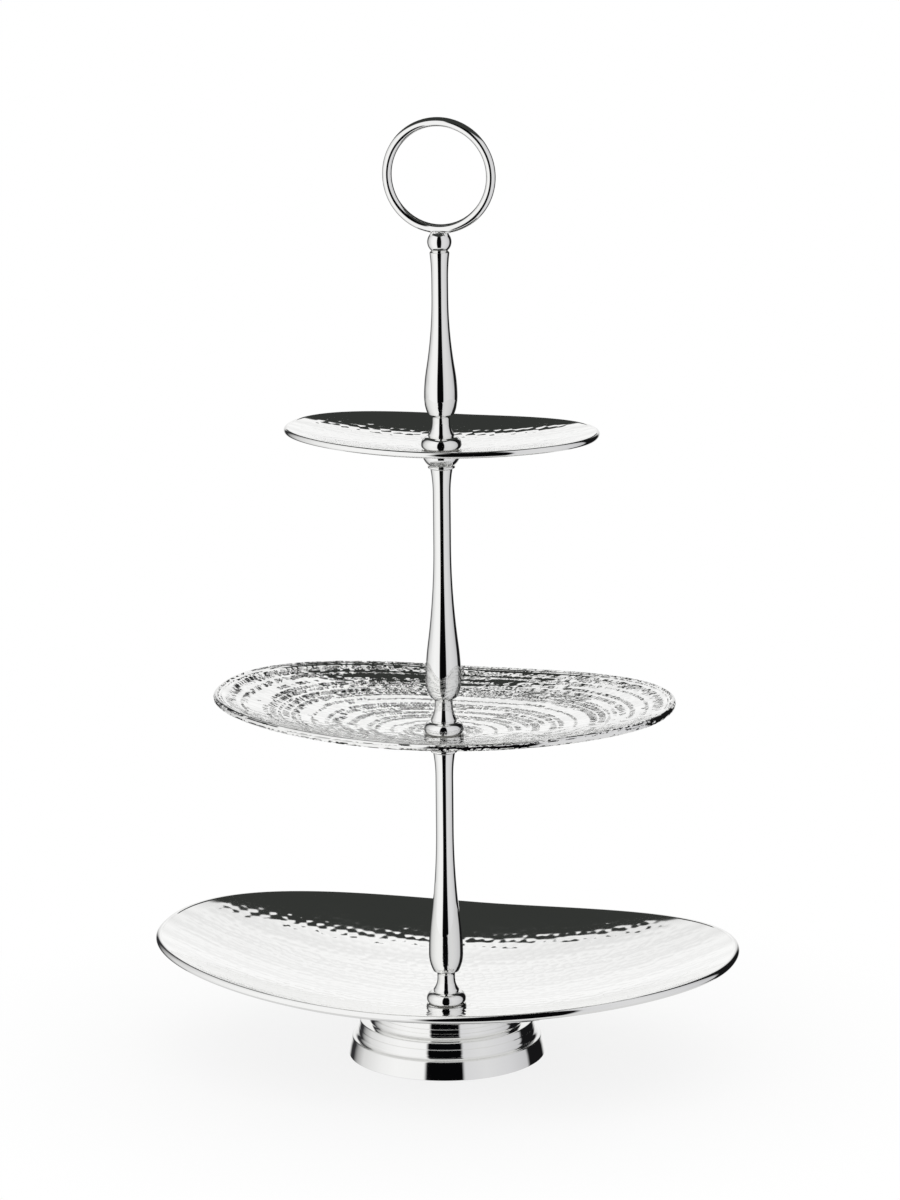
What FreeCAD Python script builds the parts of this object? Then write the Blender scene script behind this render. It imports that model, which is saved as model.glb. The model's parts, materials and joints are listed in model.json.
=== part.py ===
import FreeCAD, Part
import Sketcher
import math
import os
import re

# Three-tier cake stand: a stepped foot, three oval dishes and a turned stem that
# screws together through them, with a ring handle on top.
# Frame: +Z up, origin at the middle of the foot's underside, X along the dishes'
# long axis. The ring stands in the XZ plane. Millimetres.

SIZES = {
    # foot: a hollow spun shell in three beaded steps
    "foot_lift": 0.3,
    "foot_radius": 50.0,
    "step_one_height": 8.5,
    "lower_cove_height": 2.3,
    "step_two_inset": 4.6,
    "step_two_height": 5.4,
    "upper_cove_height": 2.9,
    "step_three_inset": 7.1,
    "step_three_height": 4.0,
    "band_lean": 0.2,
    "step_bulge": 0.25,
    "step_rounding": 0.9,
    "cove_depth": 1.2,
    "seat_dip": 1.5,
    "foot_wall": 1.6,
    "foot_plate": 2.4,
    "seat_radius": 13.0,
    # ring of rubber inside the foot's lower edge
    "pad_width": 9.0,
    "pad_thickness": 2.4,
    "pad_clearance": 0.3,
    # screws, studs and washers
    "stud_radius": 3.0,
    "thread_clearance": 0.05,
    "turning_clearance": 0.08,
    "stud_engagement": 12.0,
    "stud_hold": 12.0,
    "bore_end_gap": 1.5,
    "thread_chamfer": 0.6,
    "bolt_head_radius": 5.5,
    "bolt_head_height": 4.0,
    "hex_key_width": 5.0,
    "hex_key_depth": 2.6,
    "steel_washer_radius": 9.0,
    "steel_washer_thickness": 1.4,
    "soft_washer_radius": 8.6,
    "soft_washer_thickness": 0.4,
    # dishes
    "dish_wall": 1.2,
    "plan_squareness": 2.2,
    "bowl_curve_power": 1.6,
    "bowl_flat_share": 0.15,
    "dish_seat_radius": 11.5,
    "lower_dish_length": 299.4,
    "lower_dish_width": 201.0,
    "lower_dish_end_rise": 33.3,
    "lower_dish_side_rise": 23.3,
    "lower_rim_thickness": 4.0,
    "middle_dish_length": 234.4,
    "middle_dish_width": 164.6,
    "middle_dish_end_rise": 18.6,
    "middle_dish_side_rise": 14.3,
    "middle_rim_thickness": 3.6,
    "upper_dish_length": 158.8,
    "upper_dish_width": 103.0,
    "upper_dish_end_rise": 9.3,
    "upper_dish_side_rise": 7.3,
    "upper_rim_thickness": 3.2,
    # collars that stand on the dishes
    "lower_collar_height": 14.9,
    "middle_collar_height": 16.8,
    "upper_collar_height": 16.8,
    "collar_foot_radius": 9.85,
    "collar_bun_height": 3.8,
    "collar_bun_bulge": 1.43,
    "collar_waist_radius": 6.6,
    "collar_flare_radius": 7.2,
    "collar_flare_height": 5.2,
    "collar_neck_radius": 4.5,
    "collar_neck_drop": 3.8,
    "collar_lip_drop": 2.2,
    "collar_lip_radius": 6.3,
    # turned columns
    "lower_column_length": 117.2,
    "lower_column_neck_radius": 4.55,
    "lower_column_bulb_radius": 8.7,
    "lower_column_taper_end": 76.0,
    "middle_column_length": 119.4,
    "middle_column_neck_radius": 4.5,
    "middle_column_bulb_radius": 9.1,
    "middle_column_taper_end": 79.0,
    "upper_column_length": 81.6,
    "upper_column_neck_radius": 4.2,
    "upper_column_bulb_radius": 8.45,
    "upper_column_taper_end": 59.0,
    "upper_column_top_radius": 4.95,
    "upper_column_top_edge": 0.7,
    "bulb_height": 8.9,
    "bulb_foot_radius": 6.5,
    "bulb_share": 0.27,
    "column_lip_radius": 6.85,
    "column_lip_height": 0.9,
    "column_throat_radius": 5.7,
    "column_throat_drop": 1.3,
    "column_flare_drop": 14.0,
    # support cups under the two upper dishes
    "cup_height": 7.3,
    "cup_top_radius": 9.9,
    "cup_foot_radius": 6.4,
    # handle
    "handle_stud_radius": 2.0,
    "handle_stud_depth": 7.0,
    "ball_stud_depth": 4.5,
    "ball_radius": 6.1,
    "ball_height": 9.0,
    "ring_radius": 26.4,
    "ring_wire_radius": 2.4,
    "saddle_depth": 0.6,
    "saddle_clearance": 0.03,
}

doc = FreeCAD.newDocument("CakeStand")
sheet = doc.addObject("Spreadsheet::Sheet", "Sizes")
for row, (alias, number) in enumerate(SIZES.items(), start=1):
    sheet.set(f"A{row}", alias)
    sheet.set(f"B{row}", str(number))
    sheet.setAlias(f"B{row}", alias)
doc.recompute()

nodes = []


def cells(text):
    """The expression with each size's name turned into a reference to its cell."""
    return re.sub(r"[a-z]+(?:_[a-z]+)+", lambda word: f"Sizes.{word.group(0)}", text)


def value(text):
    """The number that an expression of sizes gives."""
    return float(sheet.evalExpression(cells(text)))


def bind(thing, target, text):
    """Ties a property to the sheet."""
    thing.setExpression(target, cells(text))


def add_node(thing, label):
    """Names a finished sub-part and puts it on the list of those to write."""
    thing.Label = label
    nodes.append(thing)
    return thing


# ---------------------------------------------------------------- outlines
# An outline is a list of corners (radius, height, bend) in a half section, walked
# with the metal on the left. bend says how the line leaves the corner: None is
# straight, and an expression is the radius of an arc, which swells outwards with
# "+" and is hollow with "-" in front of it.

def arc_centre(start, end, radius, side):
    """Centre of the shorter arc between two points, on the given side of the chord."""
    along = end - start
    across = FreeCAD.Vector(-along.y, along.x, 0) / along.Length
    reach = math.sqrt(max(radius * radius - along.Length ** 2 / 4, 0))
    return (start + end) / 2 + across * (reach * side)


def swell(sagitta, chord_squared):
    """Radius of an arc that stands out from its chord by a given amount."""
    return f"+(({chord_squared}) / 4 + ({sagitta})^2) / (2 * ({sagitta}))"


def upright_arc(sign, radius_change, height_change):
    """Radius of an arc that is upright at one end and shifts by these amounts."""
    across = f"({radius_change})"
    rise = f"({height_change})"
    return f"{sign}({across}^2 + {rise}^2) / (2 * {across})"


def add_edge(sketch, start, end, bend):
    """One edge of an outline, with the numbers of its first and last point."""
    if bend is None:
        return sketch.addGeometry(Part.LineSegment(start, end)), 1, 2
    radius = value(bend[1:])
    left = bend[0] == "+"
    centre = arc_centre(start, end, radius, 1 if left else -1)
    first, last = (start, end) if left else (end, start)
    first_angle = math.atan2(first.y - centre.y, first.x - centre.x)
    last_angle = math.atan2(last.y - centre.y, last.x - centre.x)
    circle = Part.Circle(centre, FreeCAD.Vector(0, 0, 1), radius)
    index = sketch.addGeometry(Part.ArcOfCircle(circle, first_angle, last_angle))
    radius_tie = sketch.addConstraint(Sketcher.Constraint("Radius", index, radius))
    bind(sketch, f"Constraints[{radius_tie}]", bend[1:])
    return (index, 1, 2) if left else (index, 2, 1)


def tie_corner(sketch, edge, point, radius, height):
    """Holds a corner at its radius and height, or on an axis where one is 0."""
    for kind, axis, text in (("DistanceX", -2, radius), ("DistanceY", -1, height)):
        if text == "0":
            sketch.addConstraint(Sketcher.Constraint("PointOnObject", edge, point, axis))
            continue
        tie = sketch.addConstraint(Sketcher.Constraint(kind, -1, 1, edge, point, value(text)))
        bind(sketch, f"Constraints[{tie}]", text)


def draw_outline(sketch, outline):
    """Draws a closed outline and ties every corner and arc to the sheet."""
    corners = [FreeCAD.Vector(value(r), value(h), 0) for r, h, bend in outline]
    edges = []
    for i, (r, h, bend) in enumerate(outline):
        edges.append(add_edge(sketch, corners[i], corners[(i + 1) % len(corners)], bend))
    for i, (r, h, bend) in enumerate(outline):
        edge, first, last = edges[i]
        before, before_first, before_last = edges[i - 1]
        sketch.addConstraint(Sketcher.Constraint("Coincident", before, before_last, edge, first))
        tie_corner(sketch, edge, first, r, h)


def new_sketch(body, role, name):
    """A sketch on one of the body's own origin planes."""
    plane = [item for item in body.Origin.OriginFeatures if item.Role == role][0]
    sketch = body.newObject("Sketcher::SketchObject", name)
    sketch.AttachmentSupport = [(plane, "")]
    sketch.MapMode = "FlatFace"
    return sketch


def turned(name, outline, height="0"):
    """A body turned about Z from a half section, standing at the given height."""
    body = doc.addObject("PartDesign::Body", f"Body_{name}")
    sketch = new_sketch(body, "XZ_Plane", f"Outline_{name}")
    draw_outline(sketch, outline)
    turn = body.newObject("PartDesign::Revolution", f"Turned_{name}")
    turn.Profile = sketch
    turn.ReferenceAxis = (sketch, ["V_Axis"])
    turn.Angle = 360
    body.Tip = turn
    if height != "0":
        bind(body, ".Placement.Base.z", height)
    return body


# ---------------------------------------------------------------- levels
def ledge_over(level):
    """Height of a foot step's ledge, from the height of its upright wall's top."""
    return f"({level} + step_rounding)"


STEP_ONE_TOP = "(foot_lift + step_one_height)"
STEP_TWO_BASE = f"({ledge_over(STEP_ONE_TOP)} + lower_cove_height)"
STEP_TWO_TOP = f"({STEP_TWO_BASE} + step_two_height)"
STEP_THREE_BASE = f"({ledge_over(STEP_TWO_TOP)} + upper_cove_height)"
STEP_THREE_TOP = f"({STEP_THREE_BASE} + step_three_height)"
FOOT_HEIGHT = f"({ledge_over(STEP_THREE_TOP)} - seat_dip)"
LOWER_DISH_SEAT = f"{FOOT_HEIGHT} + soft_washer_thickness"


def above_dish(seat):
    """Height of the washer that lies on a dish."""
    return f"{seat} + dish_wall"


def collar_level(seat):
    """Height of a collar's underside over a dish's seat."""
    return f"{above_dish(seat)} + soft_washer_thickness"


def column_level(seat, tier):
    """Height of a column's underside."""
    return f"{collar_level(seat)} + {tier}_collar_height"


def cup_level(seat, tier):
    """Height of a column's top, where the next support cup stands."""
    return f"{column_level(seat, tier)} + {tier}_column_length"


def next_seat(seat, tier):
    """Height of the underside of the dish that a column carries."""
    return f"{cup_level(seat, tier)} + cup_height + soft_washer_thickness"


MIDDLE_DISH_SEAT = next_seat(LOWER_DISH_SEAT, "lower")
UPPER_DISH_SEAT = next_seat(MIDDLE_DISH_SEAT, "middle")
THREAD_BORE = "(stud_radius + thread_clearance)"
TURNING_BORE = "(stud_radius + turning_clearance)"


# ---------------------------------------------------------------- foot
STEP_TWO_RADIUS = "(foot_radius - step_two_inset)"
STEP_THREE_RADIUS = f"({STEP_TWO_RADIUS} - step_three_inset)"


def leant(radius, height):
    """Radius of a step's wall at a height over its base: the walls lean inwards."""
    return f"({radius} - band_lean * {height})"


STEP_ONE_SHOULDER = leant("foot_radius", "step_one_height")
STEP_TWO_SHOULDER = leant(STEP_TWO_RADIUS, "step_two_height")
STEP_THREE_SHOULDER = leant(STEP_THREE_RADIUS, "step_three_height")


def foot_band(radius, base, height, crease):
    """Outer wall of one step: a bead, or two beads that meet in a fine crease."""
    if not crease:
        return [(radius, base, swell("step_bulge", f"(1 + band_lean^2) * {height}^2"))]
    half_height = f"({height} / 2)"
    half = swell("step_bulge / 2", f"(1 + band_lean^2) * {half_height}^2")
    return [(radius, base, half), (leant(radius, half_height), f"{base} + {half_height}", half)]


def foot_shoulder(radius, top, inner, cove_height):
    """Rounded top edge of a step and the cove that runs in under the next one."""
    return [
        (radius, top, "+step_rounding * 1.05"),
        (f"{radius} - step_rounding", ledge_over(top), None),
        (f"{inner} + cove_depth", ledge_over(top), f"-({cove_height}^2 + cove_depth^2)^0.5 * 0.8"),
    ]


step_one_ceiling = f"{ledge_over(STEP_ONE_TOP)} - foot_wall"
step_two_ceiling = f"{ledge_over(STEP_TWO_TOP)} - foot_wall"
foot_outline = (
    foot_band("foot_radius", "foot_lift", "step_one_height", False)
    + foot_shoulder(STEP_ONE_SHOULDER, STEP_ONE_TOP, STEP_TWO_RADIUS, "lower_cove_height")
    + foot_band(STEP_TWO_RADIUS, STEP_TWO_BASE, "step_two_height", True)
    + foot_shoulder(STEP_TWO_SHOULDER, STEP_TWO_TOP, STEP_THREE_RADIUS, "upper_cove_height")
    + foot_band(STEP_THREE_RADIUS, STEP_THREE_BASE, "step_three_height", True)
    + [
        (STEP_THREE_SHOULDER, STEP_THREE_TOP, "+step_rounding * 1.05"),
        (f"{STEP_THREE_SHOULDER} - step_rounding", ledge_over(STEP_THREE_TOP), None),
        ("seat_radius", FOOT_HEIGHT, None),
        (THREAD_BORE, FOOT_HEIGHT, None),
        (THREAD_BORE, f"{FOOT_HEIGHT} - foot_plate", None),
        (f"{STEP_THREE_SHOULDER} - foot_wall", f"{FOOT_HEIGHT} - foot_plate", None),
        (f"{STEP_THREE_RADIUS} - foot_wall", step_two_ceiling, None),
        (f"{STEP_TWO_SHOULDER} - foot_wall", step_two_ceiling, None),
        (f"{STEP_TWO_RADIUS} - foot_wall", step_one_ceiling, None),
        (f"{STEP_ONE_SHOULDER} - foot_wall", step_one_ceiling, None),
        ("foot_radius - foot_wall", "foot_lift", None),
    ]
)
add_node(turned("foot_shell", foot_outline), "foot_shell")


def ring_outline(inner, outer, thickness):
    """Half section of a flat ring."""
    return [(inner, "0", None), (outer, "0", None), (outer, thickness, None), (inner, thickness, None)]


# The foot's wall leans in, so the ring clears it at the ring's own top.
pad_outer = f"{leant('foot_radius', 'pad_thickness')} - foot_wall - pad_clearance"
pad_outline = ring_outline(f"{pad_outer} - pad_width", pad_outer, "pad_thickness")
add_node(turned("foot_pad", pad_outline), "foot_pad")

steel_washer = ring_outline(THREAD_BORE, "steel_washer_radius", "steel_washer_thickness")
washer_level = f"{FOOT_HEIGHT} - foot_plate - steel_washer_thickness"
add_node(turned("foot_washer", steel_washer, washer_level), "foot_washer")

# The bolt's head is under the washer, and its thread reaches into the lower column.
bolt_length = (
    "bolt_head_height + steel_washer_thickness + foot_plate + 2 * soft_washer_thickness"
    " + dish_wall + lower_collar_height + stud_engagement"
)
bolt_outline = [
    ("0", "0", None),
    ("bolt_head_radius", "0", None),
    ("bolt_head_radius", "bolt_head_height", None),
    ("stud_radius", "bolt_head_height", None),
    ("stud_radius", f"{bolt_length} - thread_chamfer", None),
    ("stud_radius - thread_chamfer", bolt_length, None),
    ("0", bolt_length, None),
]
foot_bolt = turned("foot_bolt", bolt_outline, f"{washer_level} - bolt_head_height")
key_sketch = new_sketch(foot_bolt, "XY_Plane", "Hex_key")
key_corners = []
for corner in range(6):
    angle = math.radians(60 * corner)
    key_corners.append(FreeCAD.Vector(math.cos(angle), math.sin(angle), 0) * value("hex_key_width / 3^0.5"))
for corner in range(6):
    key_sketch.addGeometry(Part.LineSegment(key_corners[corner], key_corners[(corner + 1) % 6]))
key_sketch.addGeometry(Part.Circle(FreeCAD.Vector(), FreeCAD.Vector(0, 0, 1), value("hex_key_width / 3^0.5")))
key_sketch.toggleConstruction(6)
for corner in range(6):
    following = (corner + 1) % 6
    key_sketch.addConstraint(Sketcher.Constraint("Coincident", corner, 2, following, 1))
    key_sketch.addConstraint(Sketcher.Constraint("PointOnObject", corner, 1, 6))
    if corner:
        key_sketch.addConstraint(Sketcher.Constraint("Equal", 0, corner))
key_sketch.addConstraint(Sketcher.Constraint("Coincident", 6, 3, -1, 1))
key_sketch.addConstraint(Sketcher.Constraint("PointOnObject", 0, 1, -1))
key_size = key_sketch.addConstraint(Sketcher.Constraint("Radius", 6, value("hex_key_width / 3^0.5")))
bind(key_sketch, f"Constraints[{key_size}]", "hex_key_width / 3^0.5")
doc.recompute()
blank_volume = foot_bolt.Shape.Volume
key_pocket = foot_bolt.newObject("PartDesign::Pocket", "Hex_socket")
key_pocket.Profile = key_sketch
key_pocket.Reversed = True
bind(key_pocket, "Length", "hex_key_depth")
foot_bolt.Tip = key_pocket
doc.recompute()
if foot_bolt.Shape.Volume >= blank_volume:
    raise RuntimeError("the hex socket cuts nothing")
add_node(foot_bolt, "foot_bolt")


# ---------------------------------------------------------------- stem pieces
def soft_washer(label, level):
    """Thin fibre washer that a dish is clamped against."""
    outline = ring_outline(TURNING_BORE, "soft_washer_radius", "soft_washer_thickness")
    return add_node(turned(label, outline, level), label)


def collar(label, tier, level):
    """Bobbin-shaped collar: a bun foot, a flare with a lip, a neck and a top lip."""
    height = f"{tier}_collar_height"
    neck_start = f"({height} - collar_neck_drop)"
    lip_start = f"({height} - collar_lip_drop)"
    flare_rise = f"{neck_start} - collar_flare_height"
    flare = upright_arc("-", "collar_flare_radius - collar_neck_radius", flare_rise)
    top = upright_arc("-", "collar_lip_radius - collar_neck_radius", "collar_lip_drop")
    bun_chord = "(collar_foot_radius - collar_waist_radius)^2 + collar_bun_height^2"
    outline = [
        (THREAD_BORE, "0", None),
        ("collar_foot_radius", "0", swell("collar_bun_bulge", bun_chord)),
        ("collar_waist_radius", "collar_bun_height", None),
        ("collar_flare_radius", "(collar_bun_height + collar_flare_height) / 2", None),
        ("collar_flare_radius", "collar_flare_height", flare),
        ("collar_neck_radius", neck_start, None),
        ("collar_neck_radius", lip_start, top),
        ("collar_lip_radius", height, None),
        (THREAD_BORE, height, None),
    ]
    return add_node(turned(label, outline, level), label)


def taper(tier):
    """Bulb and long taper of a column, from its foot to where the neck runs straight."""
    bulb = f"{tier}_column_bulb_radius"
    neck = f"{tier}_column_neck_radius"
    taper_end = f"{tier}_column_taper_end"
    growth = f"({bulb} - {neck})"
    length = f"({taper_end} - bulb_height)"
    total = f"({growth}^2 + {length}^2) / (2 * {growth})"
    turn_radius = f"{bulb} - bulb_share * {growth}"
    turn_height = f"bulb_height + bulb_share * {length}"
    return [
        ("bulb_foot_radius", "0", upright_arc("+", f"{bulb} - bulb_foot_radius", "bulb_height")),
        (bulb, "bulb_height", f"+bulb_share * {total}"),
        (turn_radius, turn_height, f"-(1 - bulb_share) * {total}"),
        (neck, taper_end, None),
    ]


def lower_bore():
    """Blind threaded bore in a column's foot, walked from the axis outwards."""
    depth = "stud_engagement + bore_end_gap"
    return [("0", depth, None), (THREAD_BORE, depth, None), (THREAD_BORE, "0", None)]


def column(label, tier, level):
    """Column that carries a dish: bulb, taper, neck and a flared top with a lip."""
    length = f"{tier}_column_length"
    neck = f"{tier}_column_neck_radius"
    flare = upright_arc("-", f"column_throat_radius - {neck}", "column_flare_drop - column_throat_drop")
    bottom = f"{length} - stud_hold - bore_end_gap"
    outline = lower_bore() + taper(tier) + [
        (neck, f"{length} - column_flare_drop", flare),
        ("column_throat_radius", f"{length} - column_throat_drop", None),
        ("column_lip_radius", f"{length} - column_lip_height", None),
        ("column_lip_radius", length, None),
        (THREAD_BORE, length, None),
        (THREAD_BORE, bottom, None),
        ("0", bottom, None),
    ]
    return add_node(turned(label, outline, level), label)


def support_cup(label, level):
    """Half bowl under a dish."""
    outline = [
        (THREAD_BORE, "0", None),
        ("cup_foot_radius", "0", upright_arc("+", "cup_top_radius - cup_foot_radius", "cup_height")),
        ("cup_top_radius", "cup_height", None),
        (THREAD_BORE, "cup_height", None),
    ]
    return add_node(turned(label, outline, level), label)


def stud(label, upper_tier, top_of_column):
    """Joining stud, fixed in the column below and screwed into the one above."""
    length = (
        "stud_hold + cup_height + 2 * soft_washer_thickness + dish_wall"
        f" + {upper_tier}_collar_height + stud_engagement"
    )
    outline = [
        ("0", "0", None),
        ("stud_radius - thread_chamfer", "0", None),
        ("stud_radius", "thread_chamfer", None),
        ("stud_radius", f"{length} - thread_chamfer", None),
        ("stud_radius - thread_chamfer", length, None),
        ("0", length, None),
    ]
    return add_node(turned(label, outline, f"{top_of_column} - stud_hold"), label)


# ---------------------------------------------------------------- dishes
PLAN_POINTS = 32
BOWL_STEPS = 16


def plan_curve(length, width):
    """Closed oval a little squarer than an ellipse."""
    squareness = value("plan_squareness")
    points = []
    for step in range(PLAN_POINTS):
        angle = 2 * math.pi * step / PLAN_POINTS
        x = math.copysign(abs(math.cos(angle)) ** (2 / squareness), math.cos(angle)) * length / 2
        y = math.copysign(abs(math.sin(angle)) ** (2 / squareness), math.sin(angle)) * width / 2
        points.append(FreeCAD.Vector(x, y, 0))
    curve = Part.BSplineCurve()
    curve.interpolate(points, PeriodicFlag=True)
    return Part.Wire(curve.toShape())


def plan_prism(length, width, top):
    """Upright prism on the oval plan, from well below the dish to the given height."""
    face = Part.Face(plan_curve(length, width))
    face.translate(FreeCAD.Vector(0, 0, -top))
    return face.extrude(FreeCAD.Vector(0, 0, 2 * top))


def bowl_rise(tier, end_share, side_share):
    """Height of the bowl at a share of its half length and of its half width."""
    rise = value(f"{tier}_dish_end_rise") * end_share ** 2 + value(f"{tier}_dish_side_rise") * side_share ** 2
    flat = value("bowl_flat_share") ** 2
    out = (end_share ** 2 + side_share ** 2 + flat) / (1 + flat)
    return rise * out ** (value("bowl_curve_power") / 2 - 1)


def bowl_slab(tier, bottom, thickness):
    """Slab between two bowed surfaces, flat in the middle and nearly straight towards the rim."""
    half_length = value(f"{tier}_dish_length / 2")
    half_width = value(f"{tier}_dish_width / 2")
    shares = [1.1 * (step / BOWL_STEPS * 2 - 1) for step in range(BOWL_STEPS + 1)]
    rows = []
    for x_share in shares:
        row = []
        for y_share in shares:
            height = bottom + bowl_rise(tier, x_share, y_share)
            row.append(FreeCAD.Vector(x_share * half_length, y_share * half_width, height))
        rows.append(row)
    surface = Part.BSplineSurface()
    surface.interpolate(rows)
    return surface.toShape().extrude(FreeCAD.Vector(0, 0, thickness))


def dish(tier, seat):
    """Oval dish with a thickened rim and a flat round seat with the stem's hole."""
    label = f"{tier}_dish"
    wall = value("dish_wall")
    rim = value(f"{tier}_rim_thickness")
    length = value(f"{tier}_dish_length")
    width = value(f"{tier}_dish_width")
    top = value(f"{tier}_dish_end_rise") * 2 + rim
    seat_radius = value("dish_seat_radius")
    bowl = bowl_slab(tier, 0, wall).common(plan_prism(length - rim, width - rim, top))
    rim_plan = plan_prism(length, width, top).cut(plan_prism(length - 2 * rim, width - 2 * rim, top))
    edge = bowl_slab(tier, (wall - rim) / 2, rim).common(rim_plan)
    seat_disc = Part.makeCylinder(seat_radius, wall)
    over_seat = Part.makeCylinder(seat_radius, top, FreeCAD.Vector(0, 0, wall))
    hole = Part.makeCylinder(value(TURNING_BORE), 2 * top, FreeCAD.Vector(0, 0, -top))
    shape = bowl.fuse([edge, seat_disc]).cut([over_seat, hole]).removeSplitter()
    feature = doc.addObject("Part::Feature", f"Dish_{tier}")
    feature.Shape = shape.Solids[0]
    feature.Placement = FreeCAD.Placement(FreeCAD.Vector(0, 0, value(seat)), FreeCAD.Rotation())
    bind(feature, ".Placement.Base.z", seat)
    return add_node(feature, label)


# ---------------------------------------------------------------- tiers
def tier_on_seat(tier, seat):
    """Dish, its washers, its collar and the column that clamps it."""
    soft_washer(f"{tier}_seat_washer", f"{seat} - soft_washer_thickness")
    dish(tier, seat)
    soft_washer(f"{tier}_collar_washer", above_dish(seat))
    collar(f"{tier}_collar", tier, collar_level(seat))


def joint_to_next(tier, upper_tier, seat):
    """Column, joining stud and support cup that carry the tier above."""
    column(f"{tier}_column", tier, column_level(seat, tier))
    stud(f"{upper_tier}_stud", upper_tier, cup_level(seat, tier))
    support_cup(f"{upper_tier}_support_cup", cup_level(seat, tier))


tier_on_seat("lower", LOWER_DISH_SEAT)
joint_to_next("lower", "middle", LOWER_DISH_SEAT)
tier_on_seat("middle", MIDDLE_DISH_SEAT)
joint_to_next("middle", "upper", MIDDLE_DISH_SEAT)
tier_on_seat("upper", UPPER_DISH_SEAT)

# ---------------------------------------------------------------- upper column and handle
UPPER_COLUMN_TOP = cup_level(UPPER_DISH_SEAT, "upper")
HANDLE_BORE = "(handle_stud_radius + thread_clearance)"
top_flare = upright_arc(
    "-", "upper_column_top_radius - upper_column_neck_radius",
    "column_flare_drop - column_throat_drop")
handle_bore_end = "upper_column_length - handle_stud_depth - bore_end_gap"
upper_column_outline = lower_bore() + taper("upper") + [
    ("upper_column_neck_radius", "upper_column_length - column_flare_drop", top_flare),
    ("upper_column_top_radius", "upper_column_length - column_throat_drop", None),
    ("upper_column_top_radius", "upper_column_length - upper_column_top_edge", None),
    ("upper_column_top_radius - upper_column_top_edge", "upper_column_length", None),
    (HANDLE_BORE, "upper_column_length", None),
    (HANDLE_BORE, handle_bore_end, None),
    ("0", handle_bore_end, None),
]
add_node(turned("upper_column", upper_column_outline, column_level(UPPER_DISH_SEAT, "upper")), "upper_column")

handle_stud_length = "handle_stud_depth + ball_stud_depth"
handle_stud_chamfer = "thread_chamfer / 2"
handle_stud_outline = [
    ("0", "0", None),
    (f"handle_stud_radius - {handle_stud_chamfer}", "0", None),
    ("handle_stud_radius", handle_stud_chamfer, None),
    ("handle_stud_radius", f"{handle_stud_length} - {handle_stud_chamfer}", None),
    (f"handle_stud_radius - {handle_stud_chamfer}", handle_stud_length, None),
    ("0", handle_stud_length, None),
]
handle_stud_level = f"{UPPER_COLUMN_TOP} - handle_stud_depth"
add_node(turned("handle_stud", handle_stud_outline, handle_stud_level), "handle_stud")

flat_radius = "(ball_radius^2 - (ball_height / 2)^2)^0.5"
ball_bore_end = "ball_stud_depth + bore_end_gap / 2"
ball_outline = [
    ("0", ball_bore_end, None),
    (HANDLE_BORE, ball_bore_end, None),
    (HANDLE_BORE, "0", None),
    (flat_radius, "0", "+ball_radius"),
    (flat_radius, "ball_height", None),
    ("0", "ball_height", None),
]
ball_blank = turned("ball_blank", ball_outline, UPPER_COLUMN_TOP)
RING_CENTRE = f"{UPPER_COLUMN_TOP} + ball_height - saddle_depth + ring_wire_radius + ring_radius"


def upright_ring(name, wire_radius):
    """Torus standing in the XZ plane over the stem."""
    ring = doc.addObject("Part::Torus", name)
    bind(ring, "Radius1", "ring_radius")
    bind(ring, "Radius2", wire_radius)
    ring.Placement = FreeCAD.Placement(FreeCAD.Vector(), FreeCAD.Rotation(FreeCAD.Vector(1, 0, 0), 90))
    bind(ring, ".Placement.Base.z", RING_CENTRE)
    return ring


saddle_tool = upright_ring("Saddle_tool", "ring_wire_radius + saddle_clearance")
handle_ball = doc.addObject("Part::Cut", "Handle_ball")
handle_ball.Base = ball_blank
handle_ball.Tool = saddle_tool
add_node(handle_ball, "handle_ball")
add_node(upright_ring("Ring", "ring_wire_radius"), "ring_handle")

# ---------------------------------------------------------------- check and write
doc.recompute()
for thing in doc.Objects:
    faults = [state for state in thing.State if state in ("Invalid", "Error")]
    if faults:
        raise RuntimeError(f"{thing.Name} is {faults}")
for thing in doc.Objects:
    if thing.TypeId == "Sketcher::SketchObject" and not thing.FullyConstrained:
        raise RuntimeError(f"{thing.Name} isn't fully constrained")
os.makedirs("parts", exist_ok=True)
for thing in nodes:
    if thing.Shape.isNull() or not thing.Shape.isValid():
        raise RuntimeError(f"{thing.Label} has no sound shape")
for thing in nodes:
    thing.Shape.exportStep(f"parts/{thing.Label}.step")
    print(f"{thing.Label:20s} solids {len(thing.Shape.Solids)} volume {thing.Shape.Volume:9.1f} mm3")
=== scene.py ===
# %% [markdown]
# # A three-tier cake stand in silver plate
# The stand is a low stepped foot, three oval dishes with a hammered inside, a slim turned stem and a ring
# handle. The engineering model already holds every piece at its real size and place. It is loaded here as a
# fixed frame, and this script adds what that model leaves plain: the dishes with their hammer marks and soft
# edges, the finish of each metal, the light and the camera. The screw threads stay plain cylinders.

# %% Load the frame
import json
import math

import bpy
import numpy as np
from mathutils import Matrix, Vector


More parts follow.
